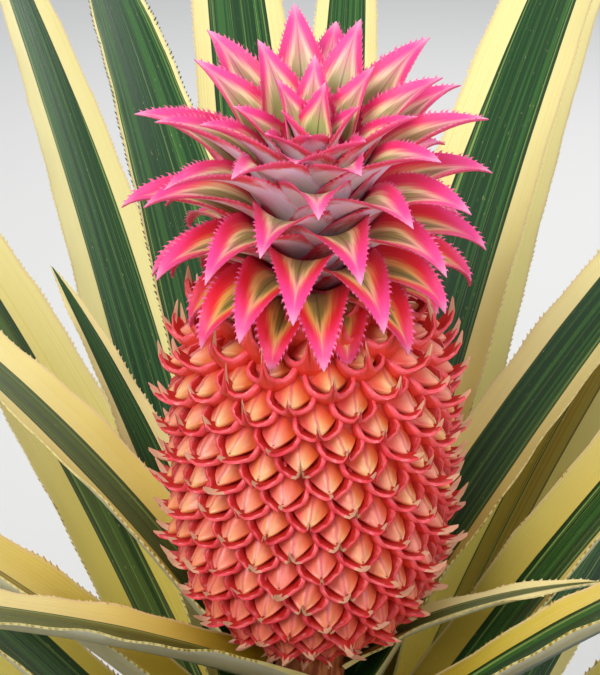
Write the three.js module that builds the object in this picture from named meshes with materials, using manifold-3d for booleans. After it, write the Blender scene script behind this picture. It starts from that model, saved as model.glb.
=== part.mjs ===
// A variegated pineapple plant, rooted in the ground: a short stem, a rosette of long channelled leaves round it,
// a stalk, the red fruit of many fruitlets and the tufted crown on top of the fruit.
// Millimetres, +Z up. The origin is the middle of the stem's flat cut at ground level, and -Y is the plant's open side.
import * as THREE from "three";
import { mergeVertices } from "three/addons/utils/BufferGeometryUtils.js";
import Module from "manifold-3d";

const wasm = await Module();
wasm.setup();

// ---- Driving dimensions ----

const CLEAR = 0.3; // between two pieces that touch
const GOLDEN_TURN = Math.PI * (3 - Math.sqrt(5)); // from one leaf, fruitlet or crown leaf to the next
const OPEN_SIDE = -Math.PI / 2; // the azimuth towards which the rosette opens

const STEM = { height: 219, footRadius: 36, neckRadius: 24, bellyRadius: 26, topRadius: 18 };
const STALK = { height: 54, bottomRadius: 14, neckRadius: 13.9, topRadius: 15 };
const FRUIT = { length: 145, radius: 47.5, footRadius: 15, topRadius: 21, fruitlets: 178 };
const FRUITLET = { eyeRadius: 7.8, eyeHeight: 8, bractRadius: 5.4, bractLength: 12, sunk: 3.5 };
const CROWN = { stemHeight: 46, bottomRadius: 15, topRadius: 8, leaves: 60, tiers: 3, collar: 4 };

const ROSETTE = { leaves: 40, lowest: 16, highest: 260, firstTurn: 0.6 };

// Single leaves that depart from the rosette's rule, by their number: degrees of turn, lean and tip, shares of size.
const HABITS = {
  12: { turn: 3, lean: -7, tip: -16, length: 1.05 },
  17: { turn: -4 },
  20: { lean: 5, tip: 8 },
  27: { lean: -1.5, tip: -12 },
  28: { turn: -6, length: 0.37, width: 0.64, lean: -8, tip: -28 },
  30: { turn: 2, width: 1.1 },
  31: { lean: -3, tip: -5 },
  33: { turn: -4, width: 1.05 },
  35: { turn: 2, lean: -2, tip: -9 },
  36: { turn: -2.5, lean: -10, tip: 6 },
  37: { lean: 2, tip: 6 },
  38: { lean: 2, tip: -10, length: 1.35 },
  39: { turn: 1.5, lean: -4, tip: -7, width: 1.06 },
  40: { turn: -1, lean: 3, tip: 6, length: 0.33, width: 0.52 },
};

// ---- Small helpers ----

const degrees = (angle) => (angle * Math.PI) / 180;
const mix = (a, b, t) => a + (b - a) * t;
const smooth = (t) => {
  const c = Math.min(1, Math.max(0, t));
  return c * c * (3 - 2 * c);
};

/** A repeatable number from -1 to 1 for one piece and one of its features. */
function wobble(piece, feature) {
  const wave = Math.sin(piece * 12.9898 + feature * 78.233) * 43758.5453;
  return 2 * (wave - Math.floor(wave)) - 1;
}

/** How far a direction faces the open side, from 0 behind to 1 in front. */
const openness = (azimuth) => ((1 + Math.cos(azimuth - OPEN_SIDE)) / 2) ** 1.5;

/** The geometry as a manifold-3d solid. */
function solidOf(geometry) {
  const bare = geometry.index ? geometry.toNonIndexed() : geometry.clone();
  bare.deleteAttribute("normal");
  bare.deleteAttribute("uv");
  const merged = mergeVertices(bare, 1e-4);
  return new wasm.Manifold(
    new wasm.Mesh({
      numProp: 3,
      vertProperties: merged.attributes.position.array,
      triVerts: new Uint32Array(merged.index.array),
    }),
  );
}

/** The largest body of a solid, as a geometry: loose scraps of a cut are dropped. */
function geometryOf(solid) {
  const [largest] = solid.decompose().sort((a, b) => b.volume() - a.volume());
  const mesh = largest.getMesh();
  return new THREE.BufferGeometry()
    .setAttribute("position", new THREE.BufferAttribute(mesh.vertProperties, 3))
    .setIndex(new THREE.BufferAttribute(mesh.triVerts, 1));
}

/** A closed turned body whose outline is a list of [radius, height] from the axis at the foot to the axis on top. */
function turned(outline, sides) {
  return new THREE.LatheGeometry(
    outline.map(([radius, height]) => new THREE.Vector2(radius, height)),
    sides,
  ).rotateX(Math.PI / 2);
}

/** The matrix that puts a thing at a radius, azimuth and height round the plant's axis, its own +X outwards. */
const roundAxis = (radius, azimuth, height) =>
  new THREE.Matrix4().makeRotationZ(azimuth).multiply(new THREE.Matrix4().makeTranslation(radius, 0, height));

// ---- Finishes ----

const finish = (color, roughness) => new THREE.MeshStandardMaterial({ color, roughness, metalness: 0 });
const STEM_SKIN = finish(0x8a7a52, 0.85);
const STALK_SKIN = finish(0xa9793f, 0.7);
const FRUIT_SKIN = finish(0xd9523f, 0.5);
const CROWN_STEM_SKIN = finish(0xc9a58c, 0.7);
const CROWN_LEAF = finish(0xf0327a, 0.45);
const GREEN_LEAF = finish(0x2f6b2a, 0.4);

// ---- Blades: rosette leaves and crown leaves ----

const PATH_STEPS = 96;

/**
 * The middle line of a blade in its own frame: from the origin it leans out from the vertical by lean and bends
 * further out by bend, more and more towards the tip. Returns PATH_STEPS + 1 places, each with its tilt.
 */
function middleLine({ length, lean, bend, bendPower }) {
  const step = length / PATH_STEPS;
  const tiltAt = (k) => lean + bend * (k / PATH_STEPS) ** bendPower;
  const places = [{ out: 0, up: 0, tilt: lean }];
  for (let k = 1; k <= PATH_STEPS; k++) {
    const tilt = tiltAt(k - 0.5);
    const last = places[k - 1];
    places.push({ out: last.out + step * Math.sin(tilt), up: last.up + step * Math.cos(tilt), tilt: tiltAt(k) });
  }
  return places;
}

/** Half the blade's width at share s of its length: a broad foot, nearly even sides and a long point. */
function halfWidth({ width, footShare, pointPower }, s) {
  const foot = mix(footShare, 1, smooth(s / 0.3));
  return (width / 2) * foot * (1 - s ** pointPower) ** 0.85;
}

/**
 * A blade in its own frame, with its foot at the origin, +X outwards and +Z up. It is a cone drawn out along the
 * middle line and pressed flat: its section is an arc, hollow towards the axis, with thin edges.
 */
function bladeGeometry(blade) {
  const line = middleLine(blade);
  const geometry = new THREE.ConeGeometry(1, 1, blade.sides, blade.rings);
  const corners = geometry.getAttribute("position");
  for (let k = 0; k < corners.count; k++) {
    const share = corners.getY(k) + 0.5;
    const s = Math.round(share ** blade.ringPower * PATH_STEPS) / PATH_STEPS;
    const spread = Math.hypot(corners.getX(k), corners.getZ(k)) < 1e-6 ? 0 : 1 / (1 - share);
    const across = -corners.getX(k) * spread;
    const lift = corners.getZ(k) * spread;
    const fold = mix(blade.footFold, blade.fold, smooth(s / blade.foldBy));
    const arc = halfWidth(blade, s) / fold;
    const thick = blade.thickness * mix(0.7, 1, smooth(s / 0.25)) * mix(1, 0.35, s ** 3);
    const flat = arc * Math.sin(fold * across);
    const rise = arc * (1 - Math.cos(fold * across)) + (lift * thick) / 2;
    const roll = blade.roll * s;
    const inward = flat * Math.sin(roll) + rise * Math.cos(roll);
    const side = flat * Math.cos(roll) - rise * Math.sin(roll) + blade.sway * s * s;
    const at = line[Math.round(s * PATH_STEPS)];
    corners.setXYZ(k, at.out - inward * Math.cos(at.tilt), side, at.up + inward * Math.sin(at.tilt));
  }
  return geometry;
}

/** The stem's radius at a height, between its root flare and its top. */
function stemRadius(height) {
  const flare = (STEM.footRadius - STEM.neckRadius) * Math.exp(-height / 12);
  const belly = (STEM.bellyRadius - STEM.neckRadius) * Math.sin((Math.PI * height) / STEM.height);
  const shrink = (STEM.neckRadius - STEM.topRadius) * smooth(height / STEM.height - 0.6) / smooth(0.4);
  return STEM.neckRadius + flare + belly - shrink;
}

/** The radius of what a leaf at a height grows from: the stem, or the stalk above it. */
const carrierRadius = (height) => (height < STEM.height ? stemRadius(height) : STALK.bottomRadius);

/**
 * A leaf of the rosette. The lowest are short and low and the middle ones longest. The leaves get more upright up
 * to the stem's top, and the last ones, on the stalk, splay again round the fruit. The open side's leaves lie low.
 */
function rosetteLeaf(index) {
  const t = index / (ROSETTE.leaves - 1);
  const habit = { turn: 0, lean: 0, tip: 0, length: 1, width: 1, ...HABITS[index + 1] };
  const azimuth = ROSETTE.firstTurn + index * GOLDEN_TURN + degrees(3 * wobble(index, 1) + habit.turn);
  const open = openness(azimuth);
  const fullLength = 410 + 400 * smooth(t / 0.45) - 520 * smooth((t - 0.5) / 0.6);
  const length = fullLength * (1 + 0.05 * wobble(index, 2)) * habit.length;
  const height = mix(ROSETTE.lowest, ROSETTE.highest, t);
  const thickness = Math.max(3, length / 98);
  const splay = smooth((t - 0.72) / 0.28);
  const lean = mix(56, 24, smooth(t / 0.75)) + 15 * splay + mix(14, 26, t) * open + habit.lean + wobble(index, 3);
  const tip = mix(98, 70, smooth(t / 0.75)) - 4 * splay + mix(2, 20, t) * open + habit.tip;
  const radius = carrierRadius(height) + 2.6 * CLEAR + 0.36 * thickness * Math.cos(degrees(lean));
  const width = (44 + 15 * Math.sin(Math.PI * Math.min(1, 0.1 + 0.85 * t)) - 6 * splay) * habit.width;
  return {
    sides: 8,
    rings: 7,
    ringPower: 1,
    azimuth,
    height,
    radius,
    length,
    thickness,
    width,
    footShare: 0.85,
    pointPower: 2.3,
    lean: degrees(lean),
    bend: degrees(tip - lean),
    bendPower: mix(1.2, 0.8, t),
    fold: 0.62,
    footFold: (0.425 * width) / (radius + 2),
    foldBy: 0.35,
    roll: degrees(9) * wobble(index, 4),
    sway: 0.02 * length * wobble(index, 5),
  };
}

// ---- Stem and stalk ----

/** The stem, from its flat cut at the ground to its flat top. */
function stemGeometry() {
  const heights = [0, 6, 16, 34, 90, 150, 190, STEM.height];
  return turned([[0, 0], ...heights.map((h) => [stemRadius(h), h]), [0, STEM.height]], 24);
}

const stalkFoot = STEM.height + CLEAR;
const fruitFoot = stalkFoot + STALK.height + CLEAR;

/** The stalk that carries the fruit, waisted in the middle, and widened by extra all round. */
function stalkGeometry(extra) {
  const top = stalkFoot + STALK.height + extra;
  return turned(
    [
      [0, stalkFoot - extra],
      [STALK.bottomRadius + extra, stalkFoot - extra],
      [STALK.neckRadius + extra, stalkFoot + 0.5 * STALK.height],
      [STALK.neckRadius + extra, stalkFoot + 0.8 * STALK.height],
      [STALK.topRadius + extra, top],
      [0, top],
    ],
    16,
  );
}

// ---- Fruit ----

/** The radius of the fruit's flesh at share v of its length: rounder below, fuller at the shoulder. */
function fleshRadius(v) {
  const u = Math.abs(2 * v - 1);
  const [power, root, end] = v < 0.5 ? [3, 2, FRUIT.footRadius] : [4, 2.6, FRUIT.topRadius];
  return Math.max(end, FRUIT.radius * Math.max(0, 1 - u ** power) ** (1 / root));
}

/** Places for the fruitlets on a golden spiral that gives each of them the same area of skin. */
function fruitletPlaces() {
  const steps = 600;
  const area = [0];
  for (let k = 0; k < steps; k++) {
    const [a, b] = [fleshRadius(k / steps), fleshRadius((k + 1) / steps)];
    area.push(area[k] + (a + b) * Math.hypot(b - a, FRUIT.length / steps));
  }
  const first = area.findIndex((_, k) => fleshRadius(k / steps) > FRUIT.footRadius + 4);
  const last = area.findLastIndex((_, k) => fleshRadius(k / steps) > FRUIT.topRadius + 3);
  return Array.from({ length: FRUIT.fruitlets }, (_, n) => {
    const wanted = mix(area[first], area[last], (n + 0.5) / FRUIT.fruitlets);
    const v = area.findIndex((a) => a >= wanted) / steps;
    const slope = (fleshRadius(v + 0.01) - fleshRadius(v - 0.01)) / (0.02 * FRUIT.length);
    return { azimuth: -n * GOLDEN_TURN, v, slant: -Math.atan(slope) };
  });
}

/** The matrix that stands a thing on the skin: its own +Z points out of the skin and its own +Y up the fruit. */
const onSkin = ({ azimuth, v, slant }) =>
  roundAxis(fleshRadius(v), azimuth, fruitFoot + v * FRUIT.length)
    .multiply(new THREE.Matrix4().makeRotationY(-slant))
    .multiply(new THREE.Matrix4().makeBasis(new THREE.Vector3(0, 1, 0), new THREE.Vector3(0, 0, 1), new THREE.Vector3(1, 0, 0)));

/** The eye of a fruitlet, a low four-sided peak, and its bract, a pointed scale that stands out of the eye's foot. */
function fruitletSolids(place) {
  const { eyeRadius, eyeHeight, bractRadius, sunk } = FRUITLET;
  const bractLength = FRUITLET.bractLength * mix(0.72, 1, smooth(place.v / 0.3)); // shorter low on the fruit
  const eye = new THREE.ConeGeometry(eyeRadius * (1 + sunk / eyeHeight), eyeHeight + sunk, 4)
    .rotateX(Math.PI / 2)
    .translate(0, 0, (eyeHeight - sunk) / 2);
  const bract = new THREE.ConeGeometry(bractRadius, bractLength, 3)
    .rotateX(Math.PI / 2)
    .scale(1, 0.5, 1)
    .translate(0, 0, bractLength / 2)
    .rotateX(degrees(-14))
    .translate(0, -0.3 * eyeRadius, 0);
  return [eye, bract].map((geometry) => solidOf(geometry.applyMatrix4(onSkin(place))));
}

/** The fruit's flesh with every fruitlet fused on, clear of the stalk and of the crown's lowest leaves. */
function fruitSolid() {
  const shares = [0, 0.06, 0.16, 0.32, 0.5, 0.7, 0.86, 0.95, 1];
  const outline = shares.map((v) => [fleshRadius(v), fruitFoot + v * FRUIT.length]);
  const flesh = turned([[0, fruitFoot], ...outline, [0, fruitFoot + FRUIT.length]], 14);
  const whole = wasm.Manifold.union([solidOf(flesh), ...fruitletPlaces().flatMap(fruitletSolids)]);
  return whole.subtract(solidOf(stalkGeometry(CLEAR)));
}

// ---- Crown ----

const crownFoot = fruitFoot + FRUIT.length + CLEAR;

/** The radius of the crown's stem at a height above the crown's foot. */
const crownStemRadius = (height) => mix(CROWN.bottomRadius, CROWN.topRadius, height / CROWN.stemHeight);

/** A crown leaf at share t of the way up: the lowest hang over the fruit's shoulder, the topmost stand up. */
function crownLeaf(index, t) {
  const height = 3 + (CROWN.stemHeight - 4) * t;
  const length = mix(56, 70, smooth(t / 0.4)) - 2 * smooth((t - 0.75) / 0.25);
  return {
    sides: 4,
    rings: 4,
    ringPower: 1.15,
    azimuth: index * GOLDEN_TURN + degrees(4) * wobble(index, 8),
    height: crownFoot + height,
    radius: crownStemRadius(height),
    length: length * (1 + 0.05 * wobble(index, 9)),
    thickness: 1.8,
    width: mix(26, 23, t),
    footShare: 0.85,
    pointPower: 1.5,
    lean: degrees(mix(56, 8, t ** 0.8)),
    bend: degrees(mix(102, 18, t ** 0.9)),
    bendPower: 1.1,
    fold: 0.5,
    footFold: 0.8,
    foldBy: 0.6,
    roll: degrees(8) * wobble(index, 10),
    sway: 2.5 * wobble(index, 11),
  };
}

/** The space inside the bell that a leaf at share t would sweep, offset outwards by offset. */
function bell(t, offset) {
  const leaf = crownLeaf(0, t);
  const line = middleLine({ ...leaf, length: 110 });
  const outline = [];
  for (let k = 0; k <= PATH_STEPS; k += 8) {
    const { out, up, tilt } = line[k];
    if (tilt > degrees(155)) break;
    outline.push([leaf.radius + out + offset * Math.cos(tilt), leaf.height + up - offset * Math.sin(tilt)]);
  }
  const reach = 200;
  const rim = outline.at(-1);
  const ceiling = crownFoot + reach;
  return turned([[0, outline[0][1]], ...outline, [reach, rim[1]], [reach, ceiling], [0, ceiling]], 16);
}

/** One tier of the crown: its leaves and the collar that they grow from, clear of the stem and of the other tiers. */
function crownTierSolid(tier, stem) {
  const share = (count) => count / (CROWN.leaves - 1);
  const perTier = CROWN.leaves / CROWN.tiers;
  const [first, end] = [tier * perTier, (tier + 1) * perTier];
  const [low, high] = [first, end].map((n) => 3 + (CROWN.stemHeight - 4) * share(n - 0.5));
  const wall = (height) => [crownStemRadius(height) + CROWN.collar, crownFoot + height];
  const foot = tier === 0 ? CLEAR : low + CLEAR;
  const collar = turned([[0, crownFoot + foot], wall(foot), wall(high), [0, crownFoot + high]], 16);
  const leaves = [];
  for (let n = first; n < end; n++) {
    const leaf = crownLeaf(n, share(n));
    leaves.push(solidOf(bladeGeometry(leaf).applyMatrix4(roundAxis(leaf.radius, leaf.azimuth, leaf.height))));
  }
  let made = wasm.Manifold.union([solidOf(collar), ...leaves]).subtract(stem);
  if (tier > 0) made = made.intersect(solidOf(bell(share(first - 0.5), -CLEAR / 2)));
  if (tier + 1 < CROWN.tiers) made = made.subtract(solidOf(bell(share(end - 0.5), CLEAR / 2)));
  return made;
}

/** The crown's own stem, widened by extra all round. */
function crownStemGeometry(extra) {
  const top = crownFoot + CROWN.stemHeight + extra;
  return turned(
    [
      [0, crownFoot - extra],
      [CROWN.bottomRadius + extra, crownFoot - extra],
      [CROWN.topRadius + extra, top],
      [0, top],
    ],
    16,
  );
}

// ---- The plant ----

const plant = new THREE.Group();

/** Adds a piece to the plant under its name, and returns its mesh. */
function add(name, geometry, material) {
  const mesh = new THREE.Mesh(geometry, material);
  mesh.name = name;
  plant.add(mesh);
  return mesh;
}

/** Adds a leaf of the rosette, and turns it to its place round the axis. */
function addLeaf(name, leaf) {
  const { radius, azimuth, height } = leaf;
  const mesh = add(name, bladeGeometry(leaf), GREEN_LEAF);
  mesh.position.set(radius * Math.cos(azimuth), radius * Math.sin(azimuth), height);
  mesh.rotation.z = azimuth;
}

add("stem", stemGeometry(), STEM_SKIN);
add("stalk", stalkGeometry(0), STALK_SKIN);
for (let n = 0; n < ROSETTE.leaves; n++) addLeaf(`leaf_${String(n + 1).padStart(2, "0")}`, rosetteLeaf(n));
add("fruit", geometryOf(fruitSolid()), FRUIT_SKIN);
add("crown_stem", crownStemGeometry(0), CROWN_STEM_SKIN);
const roundCrownStem = solidOf(crownStemGeometry(CLEAR));
for (let tier = 0; tier < CROWN.tiers; tier++) {
  add(`crown_tier_${tier + 1}`, geometryOf(crownTierSolid(tier, roundCrownStem)), CROWN_LEAF);
}

export default plant;
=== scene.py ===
"""Dresses a variegated pineapple plant: spined leaves, a fruit of many eyes and a tufted crown.

The plant grows again here by the rule of its solids, with finer leaves, eyes, bracts and spines.
"""

import logging
import math
from dataclasses import astuple, dataclass, field
from enum import IntEnum

import bpy
import numpy as np
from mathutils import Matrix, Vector


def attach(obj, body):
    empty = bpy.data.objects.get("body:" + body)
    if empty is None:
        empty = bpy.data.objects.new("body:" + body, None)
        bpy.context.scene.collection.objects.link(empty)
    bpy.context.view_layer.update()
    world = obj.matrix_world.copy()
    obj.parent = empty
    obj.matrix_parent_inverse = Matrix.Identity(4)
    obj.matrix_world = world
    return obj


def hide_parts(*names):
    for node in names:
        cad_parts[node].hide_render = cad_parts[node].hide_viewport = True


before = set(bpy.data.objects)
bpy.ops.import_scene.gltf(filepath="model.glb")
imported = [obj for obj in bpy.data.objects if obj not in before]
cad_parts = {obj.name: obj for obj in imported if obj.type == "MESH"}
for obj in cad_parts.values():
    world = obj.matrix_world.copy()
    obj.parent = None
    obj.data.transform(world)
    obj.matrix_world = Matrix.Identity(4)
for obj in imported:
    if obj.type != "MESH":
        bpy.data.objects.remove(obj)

LOG = logging.getLogger("plant")
BAKE_MAP = "OFBake"
LAY_MAP = "lay"
MM = 0.001
FRONT = -math.pi / 2
GOLDEN_TURN = math.pi * (3 - math.sqrt(5))
PATH_STEPS = 96
AREA_STEPS = 2400
EDGE_GAP = 0.01
STRIP_GAP = 0.03
ATTRIBUTE_NUMBER = 2
OBJECT_PLACE = 3
MIX_INPUTS = (0, 6, 7)
MIX_RESULT = 2

Array = np.ndarray
Number = float | Array
Ends = tuple[float, float]
Tint = tuple[float, float, float, float]
Material = bpy.types.Material
Piece = bpy.types.Object


class Trait(IntEnum):
    """What a repeatable chance decides about a leaf, a spine, an eye or a bract."""

    LEAF_TURN = 1
    LEAF_LENGTH = 2
    LEAF_LEAN = 3
    LEAF_ROLL = 4
    LEAF_SWAY = 5
    TUFT_TURN = 8
    TUFT_LENGTH = 9
    TUFT_ROLL = 10
    TUFT_SWAY = 11
    LONG_RIPPLE = 21
    SHORT_RIPPLE = 22
    SPINE_SIZE = 31
    CREAM = 41
    GOLD = 42
    EYE_REACH = 51
    EYE_PEAK = 52
    EYE_LEAN = 53
    EYE_TONE = 54
    FRUITLET_RISE = 55
    FRUITLET_TURN = 56
    FRUITLET_TWIST = 57
    BRACT_SIZE = 61
    POINT_LENGTH = 62
    POINT_CURL = 63
    POINT_SWERVE = 64
    RAGGED = 65
    BRACT_SKEW = 66
    BRACT_LOBES = 67
    DEEP_COLOUR = 68
    FRESH_POINT = 69


# ---- Numbers ----


def mix(a: Number, b: Number, t: Number) -> Number:
    """Goes in a straight line from a at t = 0 to b at t = 1."""
    return a + (b - a) * t


def smooth(t: Number, start: float = 0, end: float = 1) -> Number:
    """Eases from 0 to 1 as t goes from start to end, level at both and held beyond them."""
    c = np.clip((t - start) / (end - start), 0, 1)
    return c * c * (3 - 2 * c)


def wobble(piece: Number, trait: Number) -> Number:
    """A repeatable number from -1 to 1 for one piece and one of its traits."""
    wave = np.sin(piece * 12.9898 + trait * 78.233) * 43758.5453
    return 2 * (wave - np.floor(wave)) - 1


def hump(x: Number, middle: float, reach: float) -> Number:
    """A bell of height 1 about the middle, which has fallen to a third at the reach."""
    return np.exp(-(((x - middle) / reach) ** 2))


def facing(azimuth: float) -> float:
    """How far a direction faces the front, from 0 behind to 1 in front."""
    return (1 + math.cos(azimuth - FRONT)) / 2


def around(columns: int) -> Array:
    """A row of azimuths, evenly round the whole turn."""
    return np.linspace(0, 2 * math.pi, columns, endpoint=False)[None]


def stations(count: int) -> Array:
    """A column of shares from 0 to 1, with each end twice so that it can close to the axis."""
    return np.concatenate([[0], np.linspace(0, 1, count), [1]])[:, None]


def stood(azimuth: Number, out: Array, side: Number, up: Array) -> Array:
    """Places points that stand out from the plant's axis along an azimuth, to the side of it and up.

    Args:
        azimuth: The direction, in radians.
        out: Distance along it.
        side: Distance to the left of it.
        up: Height.

    Returns:
        The points in the plant's frame.
    """
    x = out * np.cos(azimuth) - side * np.sin(azimuth)
    y = out * np.sin(azimuth) + side * np.cos(azimuth)
    return np.stack(np.broadcast_arrays(x, y, up), -1)


def nodded(points: Array, nod: float, height: float) -> Array:
    """Turns points towards the front by an angle, about the line across the plant at a height.

    Args:
        points: Points of the plant's frame.
        nod: The angle in radians.
        height: The line's height.

    Returns:
        The turned points.
    """
    y, z = points[..., 1], points[..., 2] - height
    back = y * math.cos(nod) - z * math.sin(nod)
    up = height + z * math.cos(nod) + y * math.sin(nod)
    return np.stack([points[..., 0], back, up], -1)


def tint(red: int, green: int, blue: int) -> Tint:
    """Turns a colour in display steps from 0 to 255 into linear light with an alpha of 1.

    Args:
        red: Display step of red.
        green: Display step of green.
        blue: Display step of blue.

    Returns:
        The linear colour.
    """
    steps = np.array([red, green, blue]) / 255
    light = np.where(steps <= 0.04045, steps / 12.92, ((steps + 0.055) / 1.055) ** 2.4)
    return (*(float(x) for x in light), 1.0)


# ---- Meshes from arrays ----


@dataclass(frozen=True)
class Lattice:
    """The faces of a grid, which closes round on itself and ends in two poles unless it is an open sheet."""

    rows: int
    columns: int
    closed: bool = True

    @property
    def across(self) -> int:
        """How many cells lie side by side in a row."""
        return self.columns if self.closed else self.columns - 1

    def numbering(self) -> Array:
        """Numbers the vertices row by row, with one number for the whole of a pole's row.

        Returns:
            The vertex number of each row and column.
        """
        numbers = np.arange(self.rows * self.columns).reshape(self.rows, self.columns)
        if self.closed:
            last = (self.rows - 2) * self.columns + 1
            numbers = np.clip(numbers - self.columns + 1, 0, last)
        return numbers

    def cells(self) -> tuple[Array, Array, Array]:
        """Lists the four vertex numbers of each cell, and the row and column of each of its corners.

        Returns:
            The numbers, the rows and the columns, one line a cell.
        """
        row, column = np.meshgrid(np.arange(self.rows - 1), np.arange(self.across), indexing="ij")
        rows = np.stack([row, row, row + 1, row + 1], -1).reshape(-1, 4)
        columns = np.stack([column, column + 1, column + 1, column], -1).reshape(-1, 4)
        return self.numbering()[rows, columns % self.columns], rows, columns


@dataclass(frozen=True)
class Cell:
    """A rectangle of the unwrapped image that a grid is laid out on, cut into strips side by side."""

    left: float = 0.0
    low: float = 0.0
    right: float = 1.0
    high: float = 1.0
    strips: int = 1

    @classmethod
    def square(cls, number: int, count: int, margin: float = 0.0) -> "Cell":
        """One of so many squares of the image, drawn in by a margin in shares of its side.

        Args:
            number: Which square, from 0.
            count: How many squares there are.
            margin: The gap on each side.

        Returns:
            The square's cell.
        """
        side = math.ceil(math.sqrt(count))
        left, low = number % side, number // side
        right, high = left + 1 - margin, low + 1 - margin
        return cls((left + margin) / side, (low + margin) / side, right / side, high / side)

    def place(self, rows: Array, columns: Array, lattice: Lattice) -> Array:
        """Lays a lattice's cells out, the rows running up a strip and then on to the next strip.

        Args:
            rows: Row of each corner, one line a cell.
            columns: Column of each corner, one line a cell.
            lattice: The lattice that they belong to.

        Returns:
            The corners' places in the image, from 0 to 1.
        """
        per_strip = math.ceil((lattice.rows - 1) / self.strips)
        strip = np.minimum(rows.min(1, keepdims=True) // per_strip, self.strips - 1)
        up = mix(EDGE_GAP, 1 - EDGE_GAP, (rows - strip * per_strip) / per_strip)
        across = (strip + mix(STRIP_GAP, 1 - STRIP_GAP, columns / lattice.across)) / self.strips
        return np.stack([mix(self.left, self.right, across), mix(self.low, self.high, up)], -1)


@dataclass
class Shell:
    """Gathers grids and small repeated solids as arrays, and makes one mesh object of them."""

    points: list[Array] = field(default_factory=list)
    faces: list[Array] = field(default_factory=list)
    slots: list[Array] = field(default_factory=list)
    lays: list[Array] = field(default_factory=list)
    bakes: list[Array] = field(default_factory=list)
    values: dict[str, list[Array]] = field(default_factory=dict)
    count: int = 0

    def add_copies(
        self,
        points: Array,
        faces: Array,
        slots: Array,
        lay: Array | None = None,
        bake: Array | None = None,
        values: dict[str, Array] | None = None,
    ) -> None:
        """Adds many copies of one small shape.

        Args:
            points: Vertices in millimetres, copies by vertices by 3.
            faces: Four vertex numbers a face; a triangle gives its last number twice.
            slots: Material slot of each face, or of each copy's faces.
            lay: Each vertex's place on its own surface.
            bake: Each corner's place in the unwrapped image, copies by faces by 4 by 2.
            values: Named numbers, copies by vertices, the same names for every shape of the piece.
        """
        copies, each = points.shape[:2]
        offsets = self.count + each * np.arange(copies)
        self.points.append(points.reshape(-1, 3))
        self.faces.append((offsets[:, None, None] + faces[None]).reshape(-1, 4))
        self.slots.append(np.broadcast_to(slots, (copies, len(faces))).ravel())
        self.lays.append(np.zeros((copies * each, 2)) if lay is None else lay.reshape(-1, 2))
        self.bakes.append(np.zeros((copies * len(faces), 4, 2)) if bake is None else bake.reshape(-1, 4, 2))
        for name, numbers in (values or {}).items():
            self.values.setdefault(name, []).append(numbers.ravel())
        self.count += copies * each

    def add_grids(
        self,
        points: Array,
        lattice: Lattice,
        slots: Array | int,
        lay: Array | None = None,
        cells: list[Cell] | None = None,
        values: dict[str, Number] | None = None,
    ) -> None:
        """Adds one or more grids of the same lattice.

        Args:
            points: Vertices in millimetres, copies by rows by columns by 3.
            lattice: How the rows and columns join.
            slots: One material slot, or one for each cell.
            lay: Each vertex's place on its own surface, copies by rows by columns by 2.
            cells: Where each copy lies in the unwrapped image.
            values: Named numbers that spread to copies by rows by columns.
        """
        kept = np.unique(lattice.numbering(), return_index=True)[1]
        quads, rows, columns = lattice.cells()
        copies = points.shape[0]

        def picked(grid: Array, width: int) -> Array:
            """Keeps one entry of each vertex."""
            whole = np.broadcast_to(grid, (copies, lattice.rows, lattice.columns, width))
            return whole.reshape(copies, -1, width)[:, kept]

        self.add_copies(
            picked(points, 3),
            quads,
            slots,
            None if lay is None else picked(lay, 2),
            None if cells is None else np.stack([cell.place(rows, columns, lattice) for cell in cells]),
            {name: picked(np.asarray(grid)[..., None], 1)[..., 0] for name, grid in (values or {}).items()},
        )

    def make(self, name: str, materials: list[Material], sharp: float = 50) -> Piece:
        """Makes the mesh object, smooth apart from edges sharper than an angle.

        Args:
            name: The piece's name.
            materials: The finishes of its slots, in order.
            sharp: Degrees between two faces past which their edge stays crisp.

        Returns:
            The object, linked to the scene, at the origin.
        """
        points = np.concatenate(self.points) * MM
        faces = np.concatenate(self.faces)
        bakes = np.concatenate(self.bakes)
        kept = faces != np.roll(faces, 1, 1)
        corners = faces[kept]
        starts = np.concatenate([[0], np.cumsum(kept.sum(1))[:-1]])
        mesh = bpy.data.meshes.new(name)
        mesh.vertices.add(len(points))
        mesh.vertices.foreach_set("co", points.astype(np.float32).ravel())
        mesh.loops.add(len(corners))
        mesh.loops.foreach_set("vertex_index", corners.astype(np.int32))
        mesh.polygons.add(len(starts))
        mesh.polygons.foreach_set("loop_start", starts.astype(np.int32))
        mesh.polygons.foreach_set("material_index", np.concatenate(self.slots).astype(np.int32))
        mesh.polygons.foreach_set("use_smooth", np.ones(len(starts), bool))
        mesh.update(calc_edges=True)
        lay = mesh.uv_layers.new(name=LAY_MAP)
        lay.uv.foreach_set("vector", np.concatenate(self.lays)[corners].astype(np.float32).ravel())
        if np.ptp(bakes) > 0:
            bake = mesh.uv_layers.new(name=BAKE_MAP)
            bake.uv.foreach_set("vector", bakes[kept].astype(np.float32).ravel())
        for key, told in self.values.items():
            attribute = mesh.attributes.new(key, "FLOAT", "POINT")
            attribute.data.foreach_set("value", np.concatenate(told).astype(np.float32))
        mesh.set_sharp_from_angle(angle=math.radians(sharp))
        for material in materials:
            mesh.materials.append(material)
        made = bpy.data.objects.new(name, mesh)
        bpy.context.collection.objects.link(made)
        return made


def turned(name: str, radius: Array, high: Array, skin: Material, nod: float = 0, nod_height: float = 0) -> Piece:
    """Makes a closed piece turned round the plant's axis.

    Args:
        name: The piece's name.
        radius: Radius of each row and column; the first and last rows close to the axis.
        high: Height of each row.
        skin: Its finish.
        nod: Angle that it is tipped towards the front by.
        nod_height: Height that it is tipped about.

    Returns:
        The piece.
    """
    radius = radius.copy()
    radius[[0, -1]] = 0
    points = stood(around(radius.shape[1]), radius, 0, high)
    shell = Shell()
    shell.add_grids(nodded(points, nod, nod_height)[None], Lattice(*radius.shape), 0)
    return shell.make(name, [skin], sharp=60)


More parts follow.
